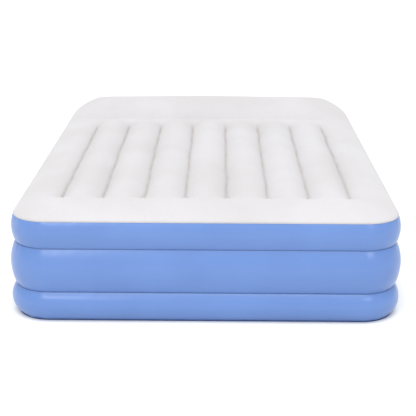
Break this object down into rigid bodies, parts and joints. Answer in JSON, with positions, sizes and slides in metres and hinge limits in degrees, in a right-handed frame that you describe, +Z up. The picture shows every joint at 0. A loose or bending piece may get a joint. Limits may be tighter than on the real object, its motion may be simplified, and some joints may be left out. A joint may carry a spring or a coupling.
{
  "type": "air mattress",
  "caption": "Raised queen air mattress with a flocked white top, a pillow roll, three blue vinyl side bands and a built-in pump in the head-end wall.",
  "frame": {"origin": "middle of the footprint, on the floor", "axes": "+Z up, +Y from the foot end to the head end and its pump, +X to the right as seen from the foot end"},
  "size_m": [1.52, 2.03, 0.5156],
  "materials": {
    "flock": "short velvety nylon flock on vinyl",
    "blue_vinyl": "satin light blue vinyl sheet",
    "bottom_vinyl": "matt blue vinyl sheet",
    "web_vinyl": "cloudy vinyl sheet",
    "panel_plastic": "fine moulded texture",
    "grey_plastic": "moulded satin",
    "black_plastic": "moulded satin",
    "seal_rubber": "matt",
    "filter_foam": "open foam",
    "steel": "zinc plated",
    "motor_steel": "plain plated steel"
  },
  "bodies": {
    "mattress": {"bottom_sheet": "bottom_vinyl", "cord_compartment": "black_plastic", "cord_gland": "seal_rubber", "door_hinge_pin": "steel", "housing_gasket": "seal_rubber", "impeller_cover": "grey_plastic", "intake_filter": "filter_foam", "lower_side_band": "blue_vinyl", "lower_tie_sheet": "web_vinyl", "lower_web_centre": "web_vinyl", "lower_web_left": "web_vinyl", "lower_web_right": "web_vinyl", "middle_side_band": "blue_vinyl", "middle_web_centre": "web_vinyl", "middle_web_left": "web_vinyl", "middle_web_right": "web_vinyl", "motor_bracket": "motor_steel", "motor_can": "motor_steel", "motor_lead": "seal_rubber", "panel_screw_1": "steel", "panel_screw_2": "steel", "panel_screw_3": "steel", "panel_screw_4": "steel", "pillow_cross_web": "web_vinyl", "pump_bezel": "panel_plastic", "pump_housing": "grey_plastic", "pump_wall_panel": "blue_vinyl", "rocker_pin": "steel", "switch_body": "black_plastic", "top_sheet": "flock", "upper_beam_1": "web_vinyl", "upper_beam_2": "web_vinyl", "upper_beam_3": "web_vinyl", "upper_beam_4": "web_vinyl", "upper_beam_5": "web_vinyl", "upper_beam_6": "web_vinyl", "upper_beam_7": "web_vinyl", "upper_beam_8": "web_vinyl", "upper_side_band": "blue_vinyl", "upper_tie_sheet": "web_vinyl", "valve_seat": "black_plastic", "valve_spring": "steel"},
    "knob": {"control_knob": "grey_plastic", "knob_shaft": "grey_plastic", "air_selector_disc": "black_plastic"},
    "rocker": {"rocker_button": "black_plastic"},
    "door": {"cord_door": "panel_plastic"},
    "fan_rotor": {"impeller": "black_plastic", "motor_shaft": "steel"},
    "check_valve": {"valve_disc": "seal_rubber", "valve_retainer": "grey_plastic"}
  },
  "joints": [
    {"name": "knob_turn", "type": "hinge", "parent": "mattress", "child": "knob", "pos_m": [-0.372, 1, 0.205], "axis": [0, 1, 0], "range_deg": [-90, 90]},
    {"name": "rocker_rock", "type": "hinge", "parent": "mattress", "child": "rocker", "pos_m": [-0.492, 1.0065, 0.24], "axis": [1, 0, 0], "range_deg": [0, 16]},
    {"name": "door_swing", "type": "hinge", "parent": "mattress", "child": "door", "pos_m": [-0.462, 1.01135, 0.2138], "axis": [1, 0, 0], "range_deg": [0, 100]},
    {"name": "impeller_spin", "type": "hinge", "parent": "mattress", "child": "fan_rotor", "pos_m": [-0.372, 0.95, 0.205], "axis": [0, 1, 0], "continuous": true},
    {"name": "check_valve_slide", "type": "slide", "parent": "mattress", "child": "check_valve", "axis": [0, -1, 0], "range_m": [0, 0.008], "stiffness_N_per_m": 60, "springref_m": -0.002, "deforming": ["valve_spring"]}
  ]
}
